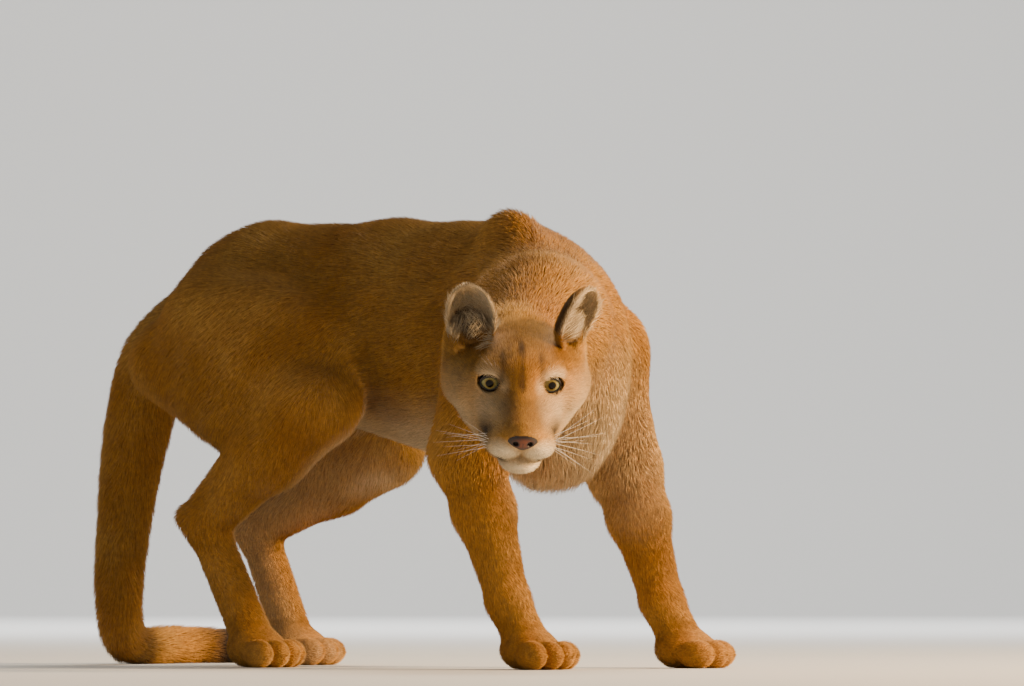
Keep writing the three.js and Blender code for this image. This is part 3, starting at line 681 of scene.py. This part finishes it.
def coat_material(name, hair):
    made, tree = material(name)
    where = node(tree, "ShaderNodeTexCoord").outputs["Object"]
    patches = node(tree, "ShaderNodeTexNoise", Vector=where, Scale=1000 / PATCH_SIZE, Detail=3.0)
    flecks = node(tree, "ShaderNodeTexNoise", Vector=where, Scale=1000 / FLECK_SIZE, Detail=3.0)
    mask = {}
    for kind in ("brown", "cream", "black") + (("tip", "chance") if hair else ()):
        mask[kind] = node(tree, "ShaderNodeAttribute", {"attribute_name": kind}).outputs["Fac"]
    # Each layer has what it follows, over what span, its share at both ends, its colour and how it is laid on.
    layers = [
        (patches.outputs[0], (0.35, 0.68), (0, 1), FAWN, "MIX"),
        (mask["brown"], (0, 1), (0, 0.75), UMBER, "MIX"),
        (flecks.outputs[0], (0.35, 0.7), (0, 0.4), UMBER, "MIX"),
        (mask["cream"], (0, 1), (0, 1), CREAM, "MIX"),
        (mask["black"], (0, 1), (0, 1), MARK_AND_SHADE_BLACK, "MIX"),
    ]
    if hair:
        layers.append((mask["tip"], (0, 0.55), (0.55, 0), UMBER, "MULTIPLY"))
    tone = colour(TAWNY)
    for value, span, shares, over, way in layers:
        ends = {"From_Min": span[0], "From_Max": span[1], "To_Min": shares[0], "To_Max": shares[1]}
        share = node(tree, "ShaderNodeMapRange", Value=value, **ends).outputs[0]
        laid = {"data_type": "RGBA", "blend_type": way}
        tone = node(tree, "ShaderNodeMix", laid, i0=share, i6=tone, i7=colour(over)).outputs[2]
    if hair:
        # No two hairs are equally light.
        light = node(tree, "ShaderNodeMapRange", Value=mask["chance"], To_Min=0.72, To_Max=1.22).outputs[0]
        tone = node(tree, "ShaderNodeHueSaturation", Value=light, Color=tone).outputs[0]
        skin = node(tree, "ShaderNodeBsdfPrincipled", Base_Color=tone, Roughness=0.55)
    else:
        laid = {"data_type": "RGBA", "blend_type": "MULTIPLY"}
        deep = node(tree, "ShaderNodeMix", laid, i0=0.35, i6=tone, i7=colour(UMBER)).outputs[2]
        strands = node(tree, "ShaderNodeTexNoise", Vector=where, Scale=1000 / STRAND_SIZE, Detail=2.0)
        relief = node(tree, "ShaderNodeBump", Height=strands.outputs[0], Strength=0.5, Distance=0.002)
        skin = node(tree, "ShaderNodeBsdfPrincipled", Base_Color=deep, Roughness=0.8)
        tree.links.new(relief.outputs[0], skin.inputs["Normal"])
    skin.inputs["Specular IOR Level"].default_value = 0.3
    shade(tree, skin.outputs[0])
    return made


# Undercoat is dense woolly hair: matt, a little darker than the coat and finely rough.
hide = coat_material("short fawn undercoat", False)
# Guard hair is smoother keratin: it catches a faint soft gleam, is dark at the root and pales to the tip.
fur = coat_material("fawn guard hair", True)

# The regions of skin. Each keeps only the faces that are its own, with a little overlap.
# The neck's edge and the paws' edges lie under the coat.
NECK_EDGE = -100
PAW_EDGE = 62
FLOOR_CLEARANCE = 0.2


def region(name, low, high, cell, own, furred=True):
    """One piece of skin inside a box, whose outermost points count as outside, so that it ends there."""
    axes, value = sample(low, high, cell, furred)
    for i in range(3):
        value[tuple(slice(None) if j != i else [0, -1] for j in range(3))] = cell
    points, quads = surface(axes, value)
    points, quads = keep(points, quads, own(points[quads].mean(1)))
    normals = slopes(axes, value, points)
    normals /= np.maximum(np.linalg.norm(normals, axis=1, keepdims=True), 1e-6)
    return dict(name=name, points=points, quads=quads, normals=normals)


def in_paw(p, knuckle, level):
    return (np.abs(p[:, 0] - knuckle[0]) < 72) & (np.abs(p[:, 1] - knuckle[1] + 12) < 100) & (p[:, 2] < level)


def body_own(p):
    local = place(p, HEAD)
    own = ~((local[:, 1] > NECK_EDGE + 8) & (np.abs(local[:, 0]) < 135) & (np.abs(local[:, 2]) < 160))
    for knuckle, turn in PAWS:
        own &= ~in_paw(p, knuckle, PAW_EDGE - 4)
    return own


BODY_CELL = 4.6
HEAD_CELL = 1.6
PAW_CELL = 2.4
NOSE_AT, NOSE_RADII = (0, 90, -34), (19, 16, 10)


def in_nose(p, size):
    x, y, z = ((place(p, HEAD) - NOSE_AT) / np.multiply(NOSE_RADII, size)).T
    return (x / np.clip(1 + 0.6 * z, 0.4, 1)) ** 2 + y**2 + z**2 < 1


def head_own(p):
    return (place(p, HEAD)[:, 1] > NECK_EDGE) & ~in_nose(p, 0.86)


skins = [region("body", (-362, -330, -12), (275, 705, 622), BODY_CELL, body_own)]
skins.append(region("head", (-446, -346, 222), (-158, -62, 528), HEAD_CELL, head_own))
for count, (knuckle, turn) in enumerate(PAWS):
    x, y = knuckle[:2]
    low, high = (x - 66, y - 104, -8), (x + 66, y + 78, 76)
    name = f"paw_{count + 1}"
    skins.append(region(name, low, high, PAW_CELL, lambda p: in_paw(p, knuckle, PAW_EDGE + 4)))

FLESH = [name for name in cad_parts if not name.startswith(("eye", "nose"))]
for skin in skins:
    points = skin["points"]
    points[:, 2] = np.maximum(points[:, 2], FLOOR_CLEARANCE)
    skin["marks"] = markings_and_painted_shade(points, skin["normals"])
    made = blank_mesh("skin_" + skin["name"], points, skin["quads"])
    cream, black, brown = skin["marks"]
    paint(made, cream=cream, black=black, brown=brown)
    made.data.materials.append(hide)
    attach(made, "root")
    skin["object"] = made
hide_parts(*[n for n in FLESH if not n.startswith(("head", "ear", "forepaw", "hindpaw"))])
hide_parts(*[n for n in FLESH if n.startswith(("head", "ear"))])
for skin, name in zip(skins[2:], ("forepaw_left", "forepaw_right", "hindpaw_left", "hindpaw_right")):
    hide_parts(name)


# The coat: fine tufts rooted in the skin, each a three-sided spike that lies along the body and ends about
# where the solids do. They are shortest on the face and feet, and longest on the breast and the ruff.
# A tuft stands for several hairs, and is as coarse as it needs to be to show.
rng = np.random.default_rng(7)
ROOT_DEPTH = 1.0
CHART_EDGE, CHART_SIZE = 0.02, 0.95
BAKE_PATCH = 0.003
STRAY = 9
LOCKS = ((14, 34), (8, 11))
HEIGHT_WAVE = 16
FLATNESS = 0.7


def coat_at(points):
    """Which way the coat lies at each point, and its depth and length."""
    total, lie, coat = 1e-9, 0, 0
    for one in forms:
        if one["cut"]:
            continue
        near = np.exp(-np.clip(far(one, *points.T), CLOSE, DISTANT) / SOFTNESS)[:, None]
        total, lie, coat = total + near, lie + near * one["lie"], coat + near * one["coat"]
    return lie / total, coat / total


def roots(skin, density):
    """Places on a skin at random, so many to a square centimetre, with what the skin says there."""
    p, quads = skin["points"], skin["quads"]
    a, b, c, d = (p[quads[:, i]] for i in range(4))
    area = np.linalg.norm(np.cross(c - a, d - b), axis=1) / 2
    where = np.repeat(np.arange(len(quads)), (area * density / 100 + rng.random(len(quads))).astype(int))
    s, t = rng.random((2, len(where), 1))
    shares = ((1 - s) * (1 - t), s * (1 - t), s * t, (1 - s) * t)

    def between(values):
        values = values.reshape(len(p), -1)
        return sum(w * values[quads[where, i]] for i, w in enumerate(shares))

    lie, coat = skin["coat"]
    marks = [between(m)[:, 0] for m in skin["marks"]]
    return [between(v) for v in (p, skin["normals"], lie, coat)] + [marks]


def swirl(points, size):
    """A slow wave over the body, from -1 to 1, which parts the coat into locks."""
    x, y, z = (points / size).T
    return np.sin(x + 1.7 * np.sin(y * 0.8 + z)) * np.cos(y * 1.3 + np.sin(z * 1.1 + x))


def charts(points, normals):
    """Where each root lies on an unwrap of the skin: six flat charts, one for each way that skin can face."""
    low, high = points.min(0), points.max(0)
    part = (points - low) / np.maximum(high - low, 1)
    way = np.abs(normals).argmax(1)
    chart = 2 * way + (normals[np.arange(len(points)), way] > 0)
    u = np.where(way == 0, part[:, 1], part[:, 0])
    v = np.where(way == 2, part[:, 1], part[:, 2])
    across = (chart % 3 + CHART_EDGE + CHART_SIZE * u) / 3
    return np.stack((across, (chart // 3 + CHART_EDGE + CHART_SIZE * v) / 2), 1)


def tufts(name, found, width, bent):
    """One piece of coat. Bent tufts have a ring halfway, and rise before they lie down."""
    points, normals, lie, coat, marks = found
    count = len(points)
    normals = normals / np.linalg.norm(normals, axis=1, keepdims=True)
    along = lie - normals * (lie * normals).sum(1)[:, None]
    along /= np.maximum(np.linalg.norm(along, axis=1, keepdims=True), 1e-6)
    across = np.cross(normals, along)
    yaw = STRAY * rng.standard_normal(count)
    for turn, size in LOCKS:
        yaw += turn * swirl(points, size)
    c, s = np.cos(np.radians(yaw))[:, None], np.sin(np.radians(yaw))[:, None]
    along, across = along * c + across * s, across * c - along * s
    depth, length = coat.T[:, :, None]
    length = length * (0.8 + 0.35 * rng.random((count, 1)))
    rise = depth * (0.55 + 0.45 * rng.random((count, 1)) ** 0.7)
    rise = rise * (0.9 + 0.1 * swirl(points, HEIGHT_WAVE)[:, None])
    reach = np.sqrt(np.maximum(length**2 - rise**2, 1))
    radius = width / 2 * (0.75 + 0.5 * rng.random((count, 1)))
    stations = [(0, 0, 1)] + ([(0.48, 0.66, 0.8)] if bent else [])
    corners = []
    for forward, up, thick in stations:
        middle = points + along * reach * forward + normals * (rise * up - ROOT_DEPTH * (forward == 0))
        for turn in (0, 120, 240):
            side, lift = np.sin(np.radians(turn)), np.cos(np.radians(turn))
            corners.append(middle + (across * side + normals * lift * FLATNESS) * radius * thick)
    corners.append(points + along * reach + normals * rise)
    each = len(corners)
    faces = []
    for ring in range(len(stations)):
        for i in range(3):
            a, b = 3 * ring + i, 3 * ring + (i + 1) % 3
            faces += [(a, b, b + 3), (a, b + 3, a + 3)] if ring < len(stations) - 1 else [(a, b, each - 1)]
    faces = np.array(faces)[:, ::-1]
    every = (faces[None] + each * np.arange(count)[:, None, None]).reshape(-1, 3)
    places = np.stack(corners, 1).reshape(-1, 3)
    places[:, 2] = np.maximum(places[:, 2], FLOOR_CLEARANCE)
    made = blank_mesh(name, places, every)
    tip = np.tile([forward for forward, up, thick in stations for i in range(3)] + [1], count)
    cream, black, brown = (np.repeat(m, each) for m in marks)
    paint(made, cream=cream, black=black, brown=brown, tip=tip, chance=np.repeat(rng.random(count), each))
    patch = np.array([((i % 3) / 2, (i // 3) / len(stations)) for i in range(each)]) * BAKE_PATCH
    place_on = (charts(points, normals)[:, None] + patch).reshape(-1, 2)
    layer = made.data.uv_layers.new(name="OFBake")
    layer.data.foreach_set("uv", place_on[every.ravel()].astype(np.float32).ravel())
    made.data.materials.append(fur)
    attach(made, "root")
    return made


def share_out(found, belongs):
    """Parts a set of roots: those for which `belongs` is true."""
    points, normals, lie, coat, marks = found
    return [points[belongs], normals[belongs], lie[belongs], coat[belongs], [m[belongs] for m in marks]]


for skin in skins:
    skin["coat"] = coat_at(skin["points"])
DENSITY = {"body": 22, "head": 75, "paw": 48}
WIDTH = {"body": 1.5, "head": 0.85, "paw": 1.0}
on_body = roots(skins[0], DENSITY["body"])
# Under the breast hangs a fringe, whose hair is about half as long again and stands further off the skin.
FRINGE = (20, 44)
FRINGE_AT, FRINGE_REACH = (-4, -70, 300), (120, 120, 120)
hangs = np.clip((-on_body[1][:, 2] - 0.15) / 0.5, 0, 1) * spot(on_body[0], BODY, FRINGE_AT, FRINGE_REACH, 0.4)
on_body[3] += (np.array(FRINGE) - on_body[3]) * hangs[:, None] * rng.random((len(hangs), 1)) ** 0.5
x, y, z = on_body[0].T
breast = (y < 10 - 70 * rng.random(len(y))) & (z > 230 + 50 * rng.random(len(y)))
tail = (y > 560) | ((y > 535) & (z < 430))
leg = (z < 250) & ~tail
haunch = (y > 330) & ~leg & ~tail
flank = ~(breast | tail | leg | haunch)
right_third, left_third = np.quantile(x[breast], (1 / 3, 2 / 3))
BODY_PIECES = {
    "breast_left": breast & (x >= left_third),
    "breast_middle": breast & (x >= right_third) & (x < left_third),
    "breast_right": breast & (x < right_third),
    "tail": tail,
    "forelegs": leg & (y < 120),
    "hindlegs": leg & (y >= 120),
    "haunches": haunch,
    "flank_left": flank & (x >= 0),
    "flank_right": flank & (x < 0),
}
for name, belongs in BODY_PIECES.items():
    tufts("coat_" + name, share_out(on_body, belongs), WIDTH["body"], name.startswith("breast"))
on_head = roots(skins[1], DENSITY["head"])
# Longer pale hair stands in the lower half of each ear cup, and leans in over its opening.
for ear in EAR.values():
    local = place(on_head[0], ear)
    in_cup = (np.abs(local[:, 0]) < 34) & (local[:, 2] > -6) & (local[:, 2] < 48) & (np.abs(local[:, 1]) < 22)
    in_cup &= (on_head[1] @ ear[:3, 1] > 0.1) & (rng.random(len(local)) < 0.25)
    lean = ear[:3, 2] * 0.9 + ear[:3, 1] * 0.35
    on_head[2][in_cup] = lean - 0.5 * np.sign(local[in_cup, :1]) * ear[:3, 0]
    on_head[3][in_cup] = (7, 22)
    for mark, amount in zip(on_head[4], (0.7, 0.3, 0)):
        mark[in_cup] = amount
bare = in_nose(on_head[0], 1.05)
to_right = place(on_head[0], HEAD)[:, 0] > 0
for name, belongs in (("head_right", to_right & ~bare), ("head_left", ~to_right & ~bare)):
    tufts("coat_" + name, share_out(on_head, belongs), WIDTH["head"], False)
for skin in skins[2:]:
    tufts("coat_" + skin["name"], roots(skin, DENSITY["paw"]), WIDTH["paw"], False)


# Eyes: round-pupilled, the iris grey-green and golden near the pupil, under a wet clear surface that bulges a
# little. Each is one ball turned about the way that the eye looks, set in its socket behind the lids.
IRIS_RADIUS = 12.2
EYE_INSET = 0.1
CORNEA_BULGE = 0.9
EYE_SIDES = 96
EYE_RINGS = 90
FIBRE_WIDTH = 1.356
FIBRE_DRIFT = 60
IRIS_STOPS = ((0.0, "#020101"), (0.37, "#020101"), (0.4, "#51451f"), (0.5, "#8a7b45"))
IRIS_RIM = ((0.68, "#8b885e"), (0.86, "#74754f"), (0.95, "#3a3626"), (1.0, "#120d09"))


def set_stops(ramp, stops):
    """Gives a colour ramp its stops."""
    band = ramp.color_ramp
    while len(band.elements) < len(stops):
        band.elements.new(0.5)
    for element, (at, tone) in zip(band.elements, stops):
        element.position = at
        element.color = colour(tone)


# A wet eye: light and dark fibres run outwards in the iris, under a clear coat of tears that mirrors the lamps.
iris, tree = material("wet eye")
ring_at = node(tree, "ShaderNodeAttribute", {"attribute_name": "ring"}).outputs["Fac"]
spoke = node(tree, "ShaderNodeAttribute", {"attribute_name": "spoke"}).outputs["Vector"]
fibres = node(tree, "ShaderNodeTexNoise", Vector=spoke, Scale=IRIS_RADIUS / FIBRE_WIDTH, Detail=4.0).outputs[0]
ramp = node(tree, "ShaderNodeValToRGB", Fac=ring_at)
set_stops(ramp, IRIS_STOPS + IRIS_RIM)
shades = node(tree, "ShaderNodeMapRange", Value=fibres, From_Min=0.3, From_Max=0.7, To_Min=0.62, To_Max=1.3)
shaded = node(tree, "ShaderNodeHueSaturation", Value=shades.outputs[0], Color=ramp.outputs["Color"])
tones = shaded.outputs[0]
wet = node(tree, "ShaderNodeBsdfPrincipled", Base_Color=tones, Roughness=0.4)
wet.inputs["Specular IOR Level"].default_value = 0.0
wet.inputs["Coat Weight"].default_value = 0.6
wet.inputs["Coat IOR"].default_value = 1.38
wet.inputs["Coat Roughness"].default_value = 0.02
shade(tree, wet.outputs[0])

for side, name in ((-1, "left"), (1, "right")):
    from_front = np.linspace(0, np.pi, EYE_RINGS) ** 1.25 / np.pi**0.25
    radius = EYE_RADIUS * np.sin(from_front)
    forward = EYE_RADIUS * np.cos(from_front) - EYE_INSET
    forward += CORNEA_BULGE * np.clip(1 - (radius / IRIS_RADIUS) ** 2, 0, 1) * (from_front < np.pi / 2)
    turn = np.linspace(0, 2 * np.pi, EYE_SIDES, endpoint=False)
    wheel = np.stack((np.cos(turn), np.zeros(EYE_SIDES), np.sin(turn)), 1)
    points = radius[:, None, None] * wheel + forward[:, None, None] * np.array((0, 1, 0))
    points = points.reshape(-1, 3) @ EYE[side][:3, :3].T + EYE[side][:3, 3]
    i, j = np.meshgrid(range(EYE_RINGS - 1), range(EYE_SIDES), indexing="ij")
    here, below = i * EYE_SIDES, (i + 1) * EYE_SIDES
    after = (j + 1) % EYE_SIDES
    quads = np.stack((here + j, here + after, below + after, below + j), -1)
    ball = blank_mesh("eyeball_" + name, points, quads.reshape(-1, 4))
    rings = np.where(from_front < np.pi / 2, radius / IRIS_RADIUS, 2.0)
    paint(ball, ring=np.repeat(np.clip(rings, 0, 1), EYE_SIDES))
    layer = ball.data.attributes.new("spoke", "FLOAT_VECTOR", "POINT")
    spokes = np.tile(wheel, (EYE_RINGS, 1)) + np.repeat(radius / FIBRE_DRIFT, EYE_SIDES)[:, None] * (0, 1, 0)
    layer.data.foreach_set("vector", spokes.astype(np.float32).ravel())
    ball.data.materials.append(iris)
    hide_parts("eye_" + name)
    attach(ball, "root")


# Lids: the bare dark rim round each eye, a thin moist roll along the edge of both lids.
# Each is one closed tube round the opening, thicker along the upper lid.
def tube(path, radii, sides=8, closed=False):
    """A round tube along a path, as points and quads."""
    path = np.asarray(path, float)
    ahead = np.roll(path, -1, 0) - np.roll(path, 1, 0) if closed else np.gradient(path, axis=0)
    ahead /= np.linalg.norm(ahead, axis=1, keepdims=True)
    up = np.cross(ahead, unit((0.31, 0.47, 0.83)))
    up /= np.linalg.norm(up, axis=1, keepdims=True)
    out = np.cross(ahead, up)
    turn = np.linspace(0, 2 * np.pi, sides, endpoint=False)
    ring = up[:, None] * np.cos(turn)[:, None] + out[:, None] * np.sin(turn)[:, None]
    points = path[:, None] + ring * np.reshape(radii, (-1, 1, 1))
    count = len(path)
    i, j = np.meshgrid(range(count if closed else count - 1), range(sides), indexing="ij")
    below, after = (i + 1) % count, (j + 1) % sides
    quads = np.stack((i * sides + j, i * sides + after, below * sides + after, below * sides + j), -1)
    return points.reshape(-1, 3), quads.reshape(-1, 4)


# Bare skin, nearly black and a little moist, so that it gleams softly.
rim_skin, tree = material("bare dark eyelid skin")
rim_paint = node(tree, "ShaderNodeBsdfPrincipled", Base_Color=colour("#17100c"), Roughness=0.35)
shade(tree, rim_paint.outputs[0])
RIM_RADIUS = 1.2
UPPER_RIM_MORE = 0.8
for side, name in ((-1, "left"), (1, "right")):
    across = half_wide * np.sin(np.linspace(-np.pi / 2, np.pi / 2, 32))
    upper = np.sqrt(LID_ARC**2 - across**2) - (LID_ARC - half_high)
    outline = np.concatenate((np.stack((across, upper), 1), np.stack((across, -upper), 1)[-2:0:-1]))
    deep = np.sqrt((EYE_RADIUS + 0.8) ** 2 - (outline**2).sum(1))
    slant = within(EYE[side], (0, 0, 0), (0, side * LID_SLANT, 0))
    path = np.stack((outline[:, 0], deep, outline[:, 1]), 1) @ slant[:3, :3].T + slant[:3, 3]
    thick = RIM_RADIUS + UPPER_RIM_MORE * np.clip(outline[:, 1] / half_high, 0, 1)
    points, quads = tube(path, thick, closed=True)
    rim = blank_mesh("lid_rim_" + name, points, quads)
    rim.data.materials.append(rim_skin)
    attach(rim, "root")

# Nose: bare damp leather round the two nostrils and the groove below them.
# It is the flesh itself without the depth of a coat, cut from a finer grid.
NOSE_CELL = 0.8
GRAIN_SIZE = 0.769
NOSE_STOPS = ((0.0, "#6b361d"), (0.35, "#532b1c"), (0.7, "#2c1a13"), (1.0, "#120c0a"))
# Nose leather has a fine pebbled grain that breaks up its gleam, and is brick red with a near-black edge, while
# its nostrils and groove carry painted shade in the same near black.
leather, tree = material("damp nose leather")
where = node(tree, "ShaderNodeTexCoord").outputs["Object"]
grain = node(tree, "ShaderNodeTexVoronoi", Vector=where, Scale=1000 / GRAIN_SIZE).outputs["Distance"]
relief = node(tree, "ShaderNodeBump", Height=grain, Strength=0.35, Distance=0.0004).outputs[0]
edge = node(tree, "ShaderNodeAttribute", {"attribute_name": "edge"}).outputs["Fac"]
ramp = node(tree, "ShaderNodeValToRGB", Fac=edge)
set_stops(ramp, NOSE_STOPS)
tones = ramp.outputs["Color"]
damp = node(tree, "ShaderNodeBsdfPrincipled", Base_Color=tones, Roughness=0.36, Normal=relief)
shade(tree, damp.outputs[0])
middle = placed(HEAD, NOSE_AT)
pad = region("nose", middle - 27, middle + 27, NOSE_CELL, lambda p: in_nose(p, 1.0), furred=False)
nose = blank_mesh("nose_leather", pad["points"], pad["quads"])
local = (place(pad["points"], HEAD) - NOSE_AT) / NOSE_RADII
rim = np.clip((np.sqrt(local[:, 0] ** 2 + local[:, 2] ** 2) - 0.3) / 0.6, 0, 1)
# Painted shade: the nostrils, the slits beside them and the groove below are made near black through the same
# edge value, standing for the shade in these hollows.
holes = [spot(pad["points"], HEAD, (side * 9, 94, -35), (4.6, 9, 4.2), 0.4) for side in (-1, 1)]
slits = [spot(pad["points"], HEAD, (side * 14, 92, -37), (6, 12, 2.6), 0.5) for side in (-1, 1)]
groove = np.clip(1 - np.abs(local[:, 0]) / 0.06, 0, 1) * (local[:, 2] < 0.1) * 0.7
paint(nose, edge=most(rim * 0.9, groove, *holes, *slits))
nose.data.materials.append(leather)
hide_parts("nose")
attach(nose, "root")

# Whiskers: stiff tapering white hairs in four rows on each whisker pad, swept outwards and back, and a few over
# each eye.
WHISKER_RADIUS = 0.27
WHISKER_ROWS = (-40, -45, -50, -55)
BROW_HAIRS = 3
# A whisker is thick white keratin, smooth enough to shine along its length.
white_hair, tree = material("white whisker")
hair_paint = node(tree, "ShaderNodeBsdfPrincipled", Base_Color=colour("#f3ece0"), Roughness=0.35)
shade(tree, hair_paint.outputs[0])
on_face = place(skins[1]["points"], HEAD)


def rooted(side, v, w):
    """The point of the face's skin on one side that is nearest to a place seen from that side."""
    off = np.hypot(on_face[:, 1] - v, on_face[:, 2] - w) - 0.3 * side * on_face[:, 0]
    return on_face[off.argmin()]


for side, name in ((-1, "left"), (1, "right")):
    hairs = []
    for row, w in enumerate(WHISKER_ROWS):
        for v in (70 - 2 * row, 62 - 2 * row, 54 - 2 * row):
            length = rng.uniform(42, 80)
            start = (side * 0.85, 0.1 - 0.4 * rng.random(), 0.3 - 0.24 * row + 0.14 * rng.standard_normal())
            hairs.append((rooted(side, v, w), start, (side * -0.1, -0.7, -0.35), length))
    for hair in range(BROW_HAIRS):
        near = np.linalg.norm(on_face - (side * (30 + 4 * hair), 6 - 3 * hair, 24), axis=1).argmin()
        start = (side * (0.1 + 0.2 * hair), 0.5, 0.8)
        hairs.append((on_face[near], start, (side * 0.2, -0.5, -0.1), rng.uniform(22, 34)))
    made = []
    t = np.linspace(0, 1, 18)[:, None]
    for at, start, bend, length in hairs:
        path = at + length * (t * unit(start) + t**2 * np.array(bend) * 0.6) - 1.5 * unit(start) * (1 - t)
        path = path @ HEAD[:3, :3].T + HEAD[:3, 3]
        thick = WHISKER_RADIUS * min(1, length / 60)
        made.append(tube(path, thick * (1 - 0.85 * t[:, 0]), sides=5))
    offsets = np.cumsum([0] + [len(points) for points, quads in made[:-1]])
    every = np.concatenate([quads + o for (points, quads), o in zip(made, offsets)])
    whiskers = blank_mesh("whiskers_" + name, np.concatenate([points for points, quads in made]), every)
    whiskers.data.materials.append(white_hair)
    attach(whiskers, "root")
